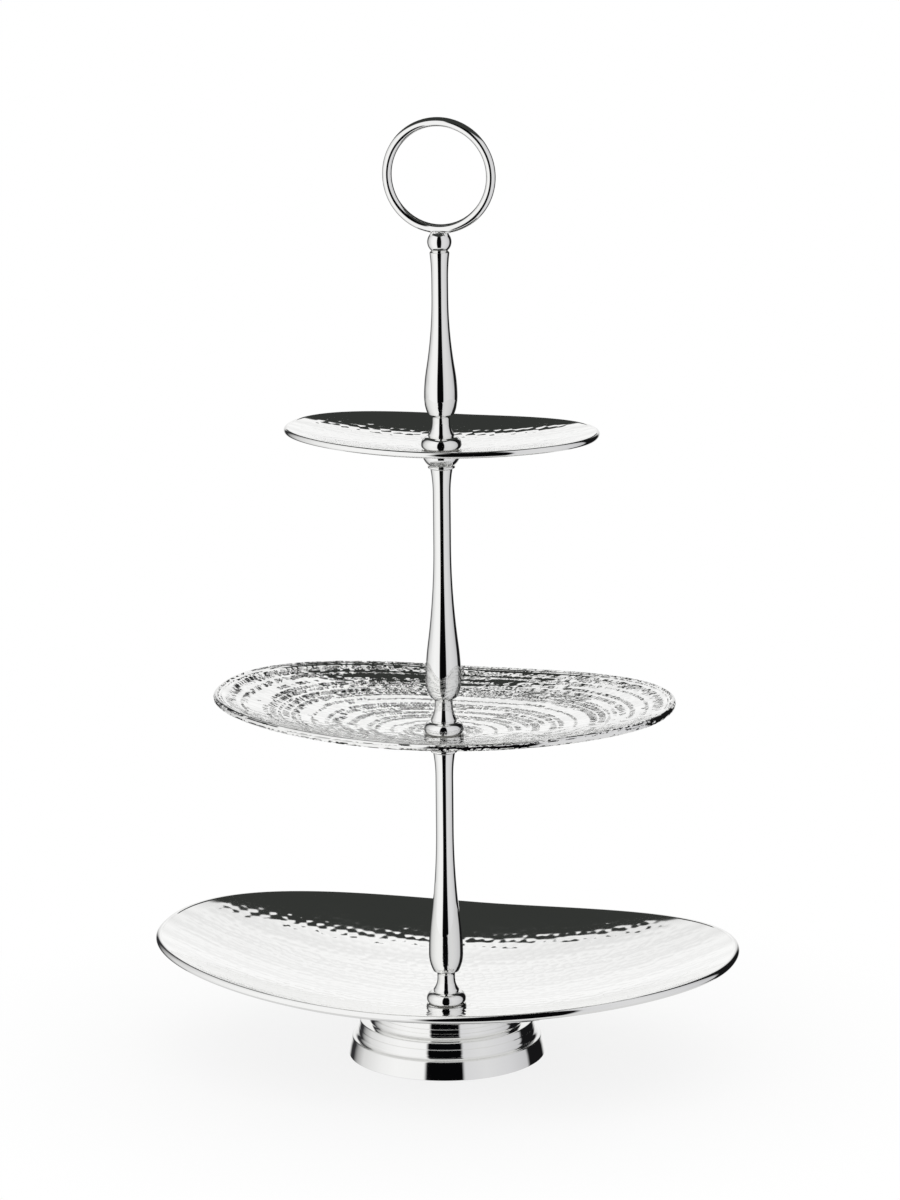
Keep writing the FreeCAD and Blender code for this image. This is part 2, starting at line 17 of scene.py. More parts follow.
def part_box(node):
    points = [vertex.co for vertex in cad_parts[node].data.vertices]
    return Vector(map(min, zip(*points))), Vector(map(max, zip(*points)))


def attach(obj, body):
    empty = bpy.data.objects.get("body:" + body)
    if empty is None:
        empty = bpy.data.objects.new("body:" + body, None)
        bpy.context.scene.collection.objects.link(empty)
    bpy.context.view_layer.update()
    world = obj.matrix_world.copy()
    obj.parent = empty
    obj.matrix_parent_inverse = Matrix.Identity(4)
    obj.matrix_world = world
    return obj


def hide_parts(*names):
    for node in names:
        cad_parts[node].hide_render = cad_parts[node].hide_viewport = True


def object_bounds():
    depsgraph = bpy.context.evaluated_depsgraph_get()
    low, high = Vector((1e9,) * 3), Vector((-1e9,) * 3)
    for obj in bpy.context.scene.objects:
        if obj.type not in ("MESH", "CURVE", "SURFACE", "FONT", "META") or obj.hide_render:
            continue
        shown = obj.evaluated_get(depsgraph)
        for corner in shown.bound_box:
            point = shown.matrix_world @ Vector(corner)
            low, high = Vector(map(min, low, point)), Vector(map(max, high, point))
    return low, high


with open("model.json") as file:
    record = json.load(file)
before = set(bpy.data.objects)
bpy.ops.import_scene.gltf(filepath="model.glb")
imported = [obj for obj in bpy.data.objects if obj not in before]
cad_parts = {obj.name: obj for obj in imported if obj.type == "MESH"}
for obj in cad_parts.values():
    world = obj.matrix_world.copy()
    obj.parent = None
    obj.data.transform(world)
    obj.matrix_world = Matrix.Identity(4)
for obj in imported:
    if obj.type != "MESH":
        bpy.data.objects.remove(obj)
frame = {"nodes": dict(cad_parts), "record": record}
cad_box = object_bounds()
print("pieces in the frame:", len(frame["nodes"]))

# %% [markdown]
# ## Units and small helpers
# Blender works in metres, and a silversmith in millimetres, so sizes are written in millimetres times MM.
# A finish is chosen as a hex value, which is sRGB, while Blender's sockets want linear light, so one
# function turns the one into the other. One more function adds a shader node with its settings and links.

# %% Helpers
MM = 0.001
TIERS = ("lower", "middle", "upper")


def linear(code):
    """Linear RGBA from an sRGB hex value."""
    channels = [int(code[i:i + 2], 16) / 255 for i in (1, 3, 5)]
    return [c / 12.92 if c <= 0.04045 else ((c + 0.055) / 1.055) ** 2.4 for c in channels] + [1.0]


def add_node(tree, kind, settings=None, links=None):
    """A node with its properties or input values set and its inputs linked."""
    node = tree.nodes.new(kind)
    for name, value in (settings or {}).items():
        if hasattr(node, str(name)):
            setattr(node, name, value)
        else:
            node.inputs[name].default_value = value
    for name, socket in (links or {}).items():
        tree.links.new(socket, node.inputs[name])
    return node


def deselect():
    """Nothing selected, so that an operator acts only on the piece it makes."""
    bpy.ops.object.select_all(action="DESELECT")


print("white in linear light:", round(linear("#ffffff")[0], 3))

# %% [markdown]
# ## Camera
# A long lens a good two metres away, a little above the dishes, looks at the middle of the stem. From there
# each dish shows its inside, and the lowest one shows most because it lies furthest below the lens. The
# stand leans by half a degree in the frame, so the camera is rolled by as much.

# %% Place the camera
CAMERA_AZIMUTH = math.radians(15.3)
CAMERA_ELEVATION = math.radians(12.8)
CAMERA_DISTANCE = 2.459
CAMERA_ROLL = math.radians(0.54)
LENS_MM = 147.7
CAMERA_SHIFT = (0.0061, -0.0052)
look_at = Vector((0, 0, cad_box[1][2] / 2))

camera_data = bpy.data.cameras.new("camera")
camera_data.lens = LENS_MM
camera_data.sensor_width = 36
camera_data.shift_x, camera_data.shift_y = CAMERA_SHIFT
camera_data.clip_end = 50
camera = bpy.data.objects.new("camera", camera_data)
bpy.context.scene.collection.objects.link(camera)
bpy.context.scene.camera = camera
outward = Vector((
    math.sin(CAMERA_AZIMUTH) * math.cos(CAMERA_ELEVATION),
    -math.cos(CAMERA_AZIMUTH) * math.cos(CAMERA_ELEVATION),
    math.sin(CAMERA_ELEVATION)))
facing = outward.to_track_quat("Z", "Y").to_matrix().to_4x4()
camera.matrix_world = Matrix.Translation(look_at + outward * CAMERA_DISTANCE) @ facing @ Matrix.Rotation(
    -CAMERA_ROLL, 4, "Z")
print("camera stands at", [round(c, 3) for c in camera.matrix_world.translation])

# %% [markdown]
# ## Light
# Polished silver has almost no colour of its own: what the eye reads is the room in it. A silver piece is
# shot in a white tent, with dark gaps left in it on purpose, because the gaps draw the black lines that
# give a mirror its shape. The world here is plain white and lights everything evenly. The tent is a real
# round wall with a roof, so that a low dish and a high one see its edges from different places, and only
# mirror-like rays see it: it neither lights nor shades.

# %% White world
world = bpy.data.worlds.new("white_room")
bpy.context.scene.world = world
world.use_nodes = True
world.node_tree.nodes["Background"].inputs["Color"].default_value = (1, 1, 1, 1)
world.node_tree.nodes["Background"].inputs["Strength"].default_value = 1.0
print("world strength", 1.0)

# %% Tent sizes and colours
TENT_RADIUS = 0.86
TENT_HEIGHT = 0.54
TENT_GLOW = 1.04
ROOF_DARK = "#333533"
ROOF_FRONT = -0.1
ROOF_BACK = 0.445
ROOF_MIDDLE = -0.01
ROOF_CURVE = 8.0
WALL_PANELS = [
    (-180, "#fcfcfc"), (-158, "#e4e4e4"), (-148, "#303032"), (-137, "#303032"), (-126, "#a8a8a8"),
    (-112, "#d6d6d6"), (-80, "#eeeeee"), (-60, "#f4f4f4"), (-26, "#f2f2f2"), (-23, "#060607"),
    (17, "#060607"), (20, "#d4d4d6"), (45, "#dadadb"), (75, "#d2d2d4"), (104, "#c2c2c4"), (109, "#161617"),
    (146, "#161617"), (156, "#e4e4e4"), (180, "#fcfcfc")]
CLOTH_FOLDS = [
    (0.12, "#ffffff"), (0.18, "#f5f5f5"), (0.24, "#ffffff"), (0.31, "#f3f3f3"), (0.38, "#ffffff"),
    (0.46, "#f1f1f1"), (0.54, "#ffffff"), (0.63, "#f0f0f0"), (0.72, "#ffffff"), (0.82, "#eeeeee"),
    (0.95, "#ffffff")]


def ramp(tree, factor, stops):
    """A colour ramp over a range of values; each stop is a value and its colour."""
    low, high = stops[0][0], stops[-1][0]
    node = add_node(tree, "ShaderNodeValToRGB")
    scaled = add_node(tree, "ShaderNodeMapRange", {"From Min": low, "From Max": high}, {"Value": factor})
    tree.links.new(scaled.outputs["Result"], node.inputs["Fac"])
    elements = node.color_ramp.elements
    elements[0].color, elements[1].color = linear(stops[0][1]), linear(stops[-1][1])
    for value, colour in stops[1:-1]:
        elements.new((value - low) / (high - low)).color = linear(colour)
    return node.outputs["Color"]


def mirror_only(stage_piece):
    """A stage piece that only mirror rays meet: it isn't seen, lights nothing and casts no shadow."""
    for ray_kind in ("visible_camera", "visible_diffuse", "visible_shadow", "visible_transmission",
                     "visible_volume_scatter"):
        setattr(stage_piece, ray_kind, False)


print("tent", TENT_RADIUS, "m in radius and", TENT_HEIGHT, "m high")

# %% Tent cloth: white and grey panels round the wall, black gaps between them, a dark roof behind
cloth = bpy.data.materials.new("studio_tent_cloth")
cloth.use_nodes = True
tree = cloth.node_tree
tree.nodes.clear()
spot = add_node(tree, "ShaderNodeTexCoord")
room = add_node(tree, "ShaderNodeMapping", {"Rotation": (0, 0, -CAMERA_AZIMUTH)},
                {"Vector": spot.outputs["Object"]})
split = add_node(tree, "ShaderNodeSeparateXYZ", links={"Vector": room.outputs["Vector"]})
toward = add_node(tree, "ShaderNodeMath", {"operation": "MULTIPLY", 1: -1.0}, {0: split.outputs["Y"]})
turn = add_node(tree, "ShaderNodeMath", {"operation": "ARCTAN2"},
                {0: split.outputs["X"], 1: toward.outputs[0]})
degrees = add_node(tree, "ShaderNodeMath", {"operation": "MULTIPLY", 1: 180 / math.pi}, {0: turn.outputs[0]})
panels = ramp(tree, degrees.outputs[0], WALL_PANELS)
on_roof = add_node(tree, "ShaderNodeMath", {"operation": "GREATER_THAN", 1: TENT_HEIGHT - 0.001},
                   {0: split.outputs["Z"]})
# Soft folds run round the back of the wall and on over the roof; a hammered dish picks them up as faint arcs.
from_wall = add_node(tree, "ShaderNodeMath", {"operation": "SUBTRACT", 0: TENT_RADIUS},
                     {1: split.outputs["Y"]})
up_the_cloth = add_node(tree, "ShaderNodeMath", {"operation": "MULTIPLY_ADD"}, {
    0: from_wall.outputs[0], 1: on_roof.outputs[0], 2: split.outputs["Z"]})
at_back = add_node(tree, "ShaderNodeMapRange", {"From Min": -0.05, "From Max": 0.05},
                   {"Value": split.outputs["Y"]})
folds = add_node(tree, "ShaderNodeMix", {"data_type": "RGBA", 6: (1, 1, 1, 1)}, {
    0: at_back.outputs[0], 7: ramp(tree, up_the_cloth.outputs[0], CLOTH_FOLDS)})
folded = add_node(tree, "ShaderNodeVectorMath", {"operation": "MULTIPLY"}, {0: panels, 1: folds.outputs[2]})
# The dark part of the roof ends in a shallow curve at the back, further away at its sides.
shift = add_node(tree, "ShaderNodeMath", {"operation": "SUBTRACT", 1: ROOF_MIDDLE}, {0: split.outputs["X"]})
aside = add_node(tree, "ShaderNodeMath", {"operation": "MULTIPLY"},
                 {0: shift.outputs[0], 1: shift.outputs[0]})
curve = add_node(tree, "ShaderNodeMath", {"operation": "MULTIPLY_ADD", 1: -ROOF_CURVE}, {
    0: aside.outputs[0], 2: split.outputs["Y"]})
along_roof = ramp(tree, curve.outputs[0], [
    (-1, "#ffffff"), (ROOF_FRONT - 0.01, "#ffffff"), (ROOF_FRONT + 0.01, "#000000"),
    (ROOF_BACK - 0.004, "#000000"), (ROOF_BACK + 0.004, "#ffffff"), (1, "#ffffff")])
roof_colour = add_node(tree, "ShaderNodeMix", {"data_type": "RGBA", 6: linear(ROOF_DARK)},
                       {0: along_roof, 7: folded.outputs[0]})
shown = add_node(tree, "ShaderNodeMix", {"data_type": "RGBA"},
                 {0: on_roof.outputs[0], 6: folded.outputs[0], 7: roof_colour.outputs[2]})
light = add_node(tree, "ShaderNodeEmission", {"Strength": TENT_GLOW}, {"Color": shown.outputs[2]})
add_node(tree, "ShaderNodeOutputMaterial", links={"Surface": light.outputs[0]})

# %% Put up the tent
deselect()
bpy.ops.mesh.primitive_cylinder_add(vertices=128, radius=TENT_RADIUS, depth=2 * TENT_HEIGHT)
tent = bpy.context.object
tent.name = "studio_tent"
tent.data.materials.append(cloth)
mirror_only(tent)
print("the tent is seen by mirror rays:", tent.visible_glossy)

# %% [markdown]
# ## Floor
# The stand is shown on a white sweep with hardly a shadow. The floor is a plain matt disc that glows to the
# lens, fully further out, so that it runs into the white of the room, and only in part round the foot, which
# sits in a soft shadow. In the mirrors a round glowing sheet further down stands in for it, pale with a
# painted
# shadow of the stand in its dark middle: the undersides of the rims show it as pale grey, and the walls of
# the foot look past it to the tent.

# %% Floor
FLOOR_RADIUS = 1.6
SHADOW_GLOW = 0.8
SHADOW_REACH = (0.10, 0.30)

deselect()
bpy.ops.mesh.primitive_circle_add(vertices=96, radius=FLOOR_RADIUS, fill_type="NGON",
                                  location=(0, 0, -0.0002))
floor = bpy.context.object
floor.name = "floor"
floor.visible_glossy = False
paper = bpy.data.materials.new("white_paper_sweep")
paper.use_nodes = True
tree = paper.node_tree
tree.nodes.clear()
matt = add_node(tree, "ShaderNodeBsdfDiffuse", {"Color": linear("#f4f4f4")})
glow = add_node(tree, "ShaderNodeEmission", {"Color": (1, 1, 1, 1), "Strength": 1.0})
floor_spot = add_node(tree, "ShaderNodeTexCoord")
distance = add_node(tree, "ShaderNodeVectorMath", {"operation": "LENGTH"}, {0: floor_spot.outputs["Object"]})
glow_share = add_node(tree, "ShaderNodeMapRange", {
    "From Min": SHADOW_REACH[0], "From Max": SHADOW_REACH[1], "To Min": SHADOW_GLOW, "To Max": 1.0,
    "interpolation_type": "SMOOTHSTEP"}, {"Value": distance.outputs["Value"]})
floor_rays = add_node(tree, "ShaderNodeLightPath")
share = add_node(tree, "ShaderNodeMath", {"operation": "MULTIPLY"},
                 {0: floor_rays.outputs["Is Camera Ray"], 1: glow_share.outputs["Result"]})
blend = add_node(tree, "ShaderNodeMixShader",
                 links={0: share.outputs[0], 1: matt.outputs[0], 2: glow.outputs[0]})
add_node(tree, "ShaderNodeOutputMaterial", links={"Surface": blend.outputs[0]})
floor.data.materials.append(paper)
print("floor radius", FLOOR_RADIUS, "m")

# %% Sheet under the stand, for the mirrors: a glowing stand-in for the floor, with a painted shadow in the middle
SHEET_RADIUS = 0.5
SHEET_DEPTH = 0.25

deselect()
bpy.ops.mesh.primitive_circle_add(vertices=96, radius=SHEET_RADIUS, fill_type="NGON",
                                  location=(0, 0, -SHEET_DEPTH))
sheet = bpy.context.object
sheet.name = "lower_sheet"
mirror_only(sheet)
sheet_paper = bpy.data.materials.new("pale_sheet_with_painted_shadow")
sheet_paper.use_nodes = True
tree = sheet_paper.node_tree
tree.nodes.clear()
sheet_spot = add_node(tree, "ShaderNodeTexCoord")
outwards = add_node(tree, "ShaderNodeVectorMath", {"operation": "LENGTH"}, {0: sheet_spot.outputs["Object"]})
# The dark middle is a painted shadow of the stand on the floor; the glowing pale ring outside it stands in
# for the lit floor.
sheet_painted_shadow = ramp(tree, outwards.outputs["Value"], [
    (0.0, "#4a4a4a"), (0.07, "#5a5a5a"), (0.13, "#d8d8d8"), (0.5, "#d8d8d8")])
sheet_light = add_node(tree, "ShaderNodeEmission", {"Strength": 1.0}, {"Color": sheet_painted_shadow})
add_node(tree, "ShaderNodeOutputMaterial", links={"Surface": sheet_light.outputs[0]})
sheet.data.materials.append(sheet_paper)
print("lower sheet radius", SHEET_RADIUS, "m")

# %% [markdown]
# ## Silver plate
# The stand is silver plate over steel, polished to a mirror. Silver returns nearly all the light, with hardly
# a tint, so its colour is close to white and only its roughness separates one polish from another. Buffing
# leaves a faint haze in patches and hairlines along the way that the wheel ran: round the stem and foot,
# and every way inside the dishes. Both are far finer than a millimetre, and are drawn as coarse as they
# need to be to show.

# %% Polished silver
SILVER = "#fafaf9"


def principled(name, colour, metallic, roughness):
    """A new material, with its tree and its shader."""
    material = bpy.data.materials.new(name)
    material.use_nodes = True
    shader = material.node_tree.nodes["Principled BSDF"]
    shader.inputs["Base Color"].default_value = linear(colour)
    shader.inputs["Metallic"].default_value = metallic
    shader.inputs["Roughness"].default_value = roughness
    return material, material.node_tree, shader


def polished_silver(name, haze_mm, low, high_roughness, stretch):
    """Mirror-polished silver plate, with buffing haze of a given patch size."""
    material, tree, shader = principled(name, SILVER, 1.0, low)
    place = add_node(tree, "ShaderNodeTexCoord")
    laid = add_node(tree, "ShaderNodeMapping", {"Scale": stretch}, {"Vector": place.outputs["Object"]})
    haze = add_node(tree, "ShaderNodeTexNoise", {"Scale": 1 / (haze_mm * MM), "Detail": 4.0},
                    {"Vector": laid.outputs["Vector"]})
    spread = add_node(tree, "ShaderNodeMapRange", {"From Min": 0.35, "From Max": 0.7, "To Min": low,
                                                   "To Max": high_roughness}, {"Value": haze.outputs["Fac"]})
    tree.links.new(spread.outputs["Result"], shader.inputs["Roughness"])
    return material


turned_silver = polished_silver("turned_silver_plate", 9, 0.015, 0.045, (1, 1, 6))
spun_silver = polished_silver("spun_silver_plate", 14, 0.02, 0.055, (1, 1, 5))
hammered_silver = polished_silver("hammered_silver_plate", 18, 0.03, 0.07, (1, 1, 1))
drawn_silver = polished_silver("drawn_silver_wire", 7, 0.015, 0.04, (1, 1, 1))
print("silver finishes:", turned_silver.name, spun_silver.name, hammered_silver.name, drawn_silver.name)

# %% [markdown]
# ## Screw steel, washers and the rubber foot ring
# What holds the stand together is plainer. Studs, bolt and washer are zinc-plated steel: bluish grey and
# slightly cloudy. The thin washers that the dishes turn between are milky nylon, and the ring under the foot
# is black rubber, matt, with the fine grain of its mould.

# %% Zinc, nylon and rubber
def grained(name, colour, metallic, roughness, grain_mm, depth_mm):
    """A plain material with a fine raised grain."""
    material, tree, shader = principled(name, colour, metallic, roughness)
    place = add_node(tree, "ShaderNodeTexCoord")
    grain = add_node(tree, "ShaderNodeTexNoise", {"Scale": 1 / (grain_mm * MM), "Detail": 3.0},
                     {"Vector": place.outputs["Object"]})
    bump = add_node(tree, "ShaderNodeBump", {"Strength": 0.5, "Distance": depth_mm * MM},
                    {"Height": grain.outputs["Fac"]})
    tree.links.new(bump.outputs["Normal"], shader.inputs["Normal"])
    cloud = add_node(tree, "ShaderNodeMapRange", {"To Min": roughness * 0.85, "To Max": roughness * 1.2},
                     {"Value": grain.outputs["Fac"]})
    tree.links.new(cloud.outputs["Result"], shader.inputs["Roughness"])
    return material


zinc_steel = grained("zinc_plated_steel", "#b9bcc0", 1.0, 0.32, 0.8, 0.01)
milky_nylon = grained("milky_nylon", "#e4e3dd", 0.0, 0.42, 0.6, 0.01)
moulded_rubber = grained("moulded_black_rubber", "#1b1b1c", 0.0, 0.7, 0.5, 0.03)
FINISHES = {
    "foot": spun_silver, "dish": hammered_silver, "stem": turned_silver, "handle": drawn_silver,
    "steel": zinc_steel, "washer": milky_nylon, "pad": moulded_rubber}
print("finishes for", len(FINISHES), "slots")

# %% Give every frame piece its finish
for subpart in frame["record"]["subparts"]:
    node = frame["nodes"][subpart["node"]]
    finish = FINISHES[subpart["material_slot"]]
    node.data.materials.clear()
    node.data.materials.append(finish)

# %% [markdown]
# ## Turned pieces
# Foot, collars, columns, cups and ball are turned on a lathe, so each is one outline spun round an axis.
# The outline is walked as a list of corners, with straight lines or arcs between them. On polished metal
# the edges matter most: no real edge is perfectly sharp, and its tiny rounding catches a line of light, so
# every sharp corner of an outline is eased by a fifth of a millimetre before it is spun. A bevel on the
# finished mesh would do that too, but the short faces along the arcs would hold it back.

# %% Outlines: arcs and eased corners
EASE = 0.22
ARC_STEP = math.radians(6)
LINE_STEP = 3.0
LATHE_WELD = 0.000005


def arc_points(start, end, bend):
    """Points from start up to, not including, end. A positive bend is a swelling arc of that radius."""
    if not bend:
        return [start]
    start, end = np.array(start), np.array(end)
    chord = end - start
    length = np.hypot(*chord)
    across = np.array((-chord[1], chord[0])) / length
    to_centre = math.sqrt(max(bend * bend - length ** 2 / 4, 0))
    centre = (start + end) / 2 + across * to_centre * math.copysign(1, bend)
    first = math.atan2(*(start - centre)[::-1])
    sweep = (math.atan2(*(end - centre)[::-1]) - first + math.pi) % (2 * math.pi) - math.pi
    steps = max(2, math.ceil(abs(sweep) / ARC_STEP), math.ceil(length / LINE_STEP))
    angles = first + sweep * np.arange(steps) / steps
    return [tuple(centre + abs(bend) * np.array((math.cos(a), math.sin(a)))) for a in angles]


def swell(stand_out, chord):
    """Radius of an arc that stands out from its chord by a given amount."""
    return (chord ** 2 / 4 + stand_out ** 2) / (2 * stand_out)


def upright(radius_change, height_change):
    """Radius of an arc that is upright at one end and shifts by these amounts."""
    return (radius_change ** 2 + height_change ** 2) / (2 * radius_change)


def eased(points):
    """The closed outline with each sharp corner rounded, and a support point on either side of it."""
    points = [np.array(p) for p in points]
    result = []
    for i, corner in enumerate(points):
        back, on = points[i - 1] - corner, points[(i + 1) % len(points)] - corner
        back_length, on_length = np.hypot(*back), np.hypot(*on)
        back, on = back / back_length, on / on_length
        turned = math.acos(np.clip(-back @ on, -1, 1))
        if turned < math.radians(25) or corner[0] < 0.01:
            result.append(corner)
            continue
        ease = min(EASE, 0.2 * back_length, 0.2 * on_length)
        result.append(corner + back * 2 * ease)
        for share in (0, 1 / 3, 2 / 3, 1):
            result.append(corner + ease * (back * (1 - share) ** 2 + on * share ** 2))
        result.append(corner + on * 2 * ease)
    return result


def outline_of(corners):
    """The whole outline, from corners (radius, height) or (radius, height, bend)."""
    points = []
    for corner, following in zip(corners, corners[1:] + corners[:1]):
        points += arc_points(corner[:2], following[:2], corner[2] if len(corner) > 2 else None)
    return eased(points)


print("an arc that stands out 1 mm over 10 mm has a radius of", swell(1, 10), "mm")

# %% Lathe
def lathe(name, outline, turns, height=0.0):
    """A closed piece: the outline, in millimetres, spun round the upright axis."""
    deselect()
    bpy.ops.mesh.primitive_circle_add(vertices=len(outline))
    piece = bpy.context.object
    piece.name = name
    places = [(r * MM, 0, z * MM + height) for r, z in outline]
    piece.data.vertices.foreach_set("co", np.array(places).ravel())
    bpy.ops.object.mode_set(mode="EDIT")
    bpy.ops.mesh.select_all(action="SELECT")
    bpy.ops.mesh.spin(steps=turns, angle=2 * math.pi, center=(0, 0, 0), axis=(0, 0, 1))
    bpy.ops.mesh.select_all(action="SELECT")
    bpy.ops.mesh.remove_doubles(threshold=LATHE_WELD)
    bpy.ops.mesh.delete_loose()
    bpy.ops.mesh.select_all(action="SELECT")
    bpy.ops.mesh.normals_make_consistent(inside=False)
    bpy.ops.object.mode_set(mode="OBJECT")
    bpy.ops.object.shade_smooth()
    return piece


def fit_piece(piece, node, body, slot):
    """Gives a piece its finish and its body, and puts it in place of its plain frame piece."""
    piece.data.materials.clear()
    piece.data.materials.append(FINISHES[slot])
    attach(piece, body)
    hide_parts(node)
    print(piece.name, "rides on", body, "with", len(piece.data.polygons), "faces")


def turned_piece(node, body, slot, corners, turns=128):
    """A lathe piece that stands where its frame piece does."""
    piece = lathe(f"turned_{node}", outline_of(corners), turns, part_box(node)[0][2])
    fit_piece(piece, node, body, slot)


# %% [markdown]
# ## Foot
# The foot is sheet spun over a form in three steps. Each wall leans in a little and bulges, the two upper
# ones as a pair of beads with a fine crease between them, and a hollow cove runs from each ledge in under
# the next wall. Inside, it is a plain shell.

# %% Foot shell
THREAD_BORE = 3.05
SMALL_BORE = 2.05
FOOT_LEAN = 0.2
FOOT_BULGE = 0.1
CREASE = 0.22
FOOT_ROUNDING = 0.9
COVE = 1.2


def foot_wall(radius, height, rise, beads):
    """One leaning wall of the foot in one bead, or in two with a fine crease between them."""
    if beads == 1:
        return [(radius, height, swell(FOOT_BULGE, rise * math.hypot(1, FOOT_LEAN)))]
    part = rise / 2 - CREASE
    bend = swell(FOOT_BULGE / 2, part * math.hypot(1, FOOT_LEAN))
    crease = radius - FOOT_LEAN * rise / 2
    return [(radius, height, bend), (crease + FOOT_LEAN * CREASE, height + part),
            (crease - CREASE, height + rise / 2),
            (crease - FOOT_LEAN * CREASE, height + part + 2 * CREASE, bend)]


def foot_ledge(radius, height, inner, cove_height):
    """The rounded top edge of a wall, its ledge and the cove under the next wall."""
    return [(radius, height, FOOT_ROUNDING * 1.05),
            (radius - FOOT_ROUNDING, height + FOOT_ROUNDING),
            (inner + COVE, height + FOOT_ROUNDING, -math.hypot(cove_height, COVE) * 0.8)]


turned_piece("foot_shell", "root", "foot", (
    foot_wall(50.0, 0, 8.5, 1) + foot_ledge(48.3, 8.5, 45.4, 2.3)
    + foot_wall(45.4, 11.7, 5.4, 2) + foot_ledge(44.32, 17.1, 38.3, 2.9)
    + foot_wall(38.3, 20.9, 4.0, 2)
    + [(37.5, 24.9, FOOT_ROUNDING * 1.05), (36.6, 25.8), (13.0, 24.3), (THREAD_BORE, 24.3),
       (THREAD_BORE, 21.9), (35.9, 21.9), (36.7, 16.4), (42.72, 16.4),
       (43.8, 7.8), (46.7, 7.8), (48.4, 0)]), turns=256)

# %% [markdown]
# ## Stem
# Every tier has the same three turned pieces in slightly different lengths: a bobbin-shaped collar on the
# dish, a column with a bulb, a long taper and a slim neck, and a half bowl that carries the next dish.
# One function gives each outline from the few sizes that differ.

# %% Collars
def collar(height):
    """A bun foot, a flare with a lip, a neck and a top lip."""
    return [(THREAD_BORE, 0), (9.6, 0, 2.2), (10.1, 1.6, upright(3.6, 4.0)), (6.5, 5.6), (6.3, 6.0),
            (6.6, 6.3), (6.4, 6.8, -upright(1.9, height - 10.6)), (4.5, height - 3.8),
            (4.5, height - 2.2, -upright(1.8, 2.2)), (6.3, height), (THREAD_BORE, height)]


turned_piece("lower_collar", "lower_stem", "stem", collar(16.2))
turned_piece("middle_collar", "middle_stem", "stem", collar(17.8))
turned_piece("upper_collar", "upper_stem", "stem", collar(16.8))

# %% Columns
BORE_DEPTH = 13.5
BULB_SHARE = 0.27


def column_foot(bulb, neck, taper_end):
    """The bore, the bulb and the long taper up to the neck."""
    growth, length = bulb - neck, taper_end - 8.9
    total = upright(growth, length)
    return [(0, BORE_DEPTH), (THREAD_BORE, BORE_DEPTH), (THREAD_BORE, 0), (6.5, 0, upright(bulb - 6.5, 8.9)),
            (bulb, 8.9, BULB_SHARE * total),
            (bulb - BULB_SHARE * growth, 8.9 + BULB_SHARE * length, -(1 - BULB_SHARE) * total),
            (neck, taper_end)]


def column(bulb, neck, taper_end, length, start):
    """A column that carries a dish, with a flared top and a lip, from a start a little over its base."""
    foot = [(corner[0], corner[1] + start, *corner[2:])
            for corner in column_foot(bulb, neck, taper_end - start)]
    return foot + [
        (neck, length - 14.0, -upright(5.7 - neck, 12.7)), (5.7, length - 1.3), (6.85, length - 0.9),
        (6.85, length), (THREAD_BORE, length), (THREAD_BORE, length - BORE_DEPTH), (0, length - BORE_DEPTH)]


turned_piece("lower_column", "lower_stem", "stem", column(8.7, 4.55, 76.0, 117.2, 1.3))
turned_piece("middle_column", "middle_stem", "stem", column(9.1, 4.5, 79.0, 119.4, 1.0))
turned_piece("upper_column", "upper_stem", "stem", column_foot(8.45, 4.2, 59.0) + [
    (4.2, 67.6, -upright(0.75, 12.7)), (4.95, 80.3), (4.95, 80.9), (4.25, 81.6), (SMALL_BORE, 81.6),
    (SMALL_BORE, 73.1), (0, 73.1)])

# %% Support cups
for cup, body in (("middle_support_cup", "lower_stem"), ("upper_support_cup", "middle_stem")):
    turned_piece(cup, body, "stem", [
        (THREAD_BORE, 0), (6.4, 0, upright(3.5, 7.3)), (9.9, 7.3), (THREAD_BORE, 7.3)])

# %% [markdown]
# ## Handle
# The ring is drawn wire, bent round and soldered into the ball on top of the stem. The ball is turned, with
# a little collar of solder that creeps up round the wire. The ring is a circle of points spun round the
# axis of the ring, then stood upright over the ball.

# %% Ball with its solder collar
turned_piece("handle_ball", "upper_stem", "stem", [
    (0, 5.25), (SMALL_BORE, 5.25), (SMALL_BORE, 0), (4.12, 0, 6.1), (4.12, 9.0, -0.9), (2.9, 9.6), (0, 9.6)])

# %% Ring
RING_RADIUS = 26.4
WIRE_RADIUS = 2.4
WIRE_SIDES = 40

wire = [(RING_RADIUS + WIRE_RADIUS * math.cos(2 * math.pi * i / WIRE_SIDES),
         WIRE_RADIUS * math.sin(2 * math.pi * i / WIRE_SIDES)) for i in range(WIRE_SIDES)]
ring = lathe("drawn_ring_handle", wire, 224)
ring_low, ring_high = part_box("ring_handle")
bpy.ops.object.mode_set(mode="EDIT")
bpy.ops.mesh.select_all(action="SELECT")
bpy.ops.transform.rotate(value=math.pi / 2, orient_axis="X", center_override=(0, 0, 0))
bpy.ops.transform.translate(value=(0, 0, (ring_low[2] + ring_high[2]) / 2))
bpy.ops.object.mode_set(mode="OBJECT")
fit_piece(ring, "ring_handle", "upper_stem", "handle")

# %% [markdown]
# ## Dishes
# Each dish is a sheet pressed to an oval bowl and hammered from the inside: a ball-faced hammer leaves
# shallow round hollows, row after row, until they meet in low ridges. A band along the edge and the seat
# under the stem stay smooth, and the edge is rolled outwards into a bead, which stiffens it. A flat sheet
# could be cut as a grid and pushed into place, but a dish has nearly one section all round, so that section
# is drawn once and spun round the stem. The spun ring is then laid out to the oval, and the hammer
# marks are sunk into its inside by formula, because each is only about a twentieth of a millimetre deep.

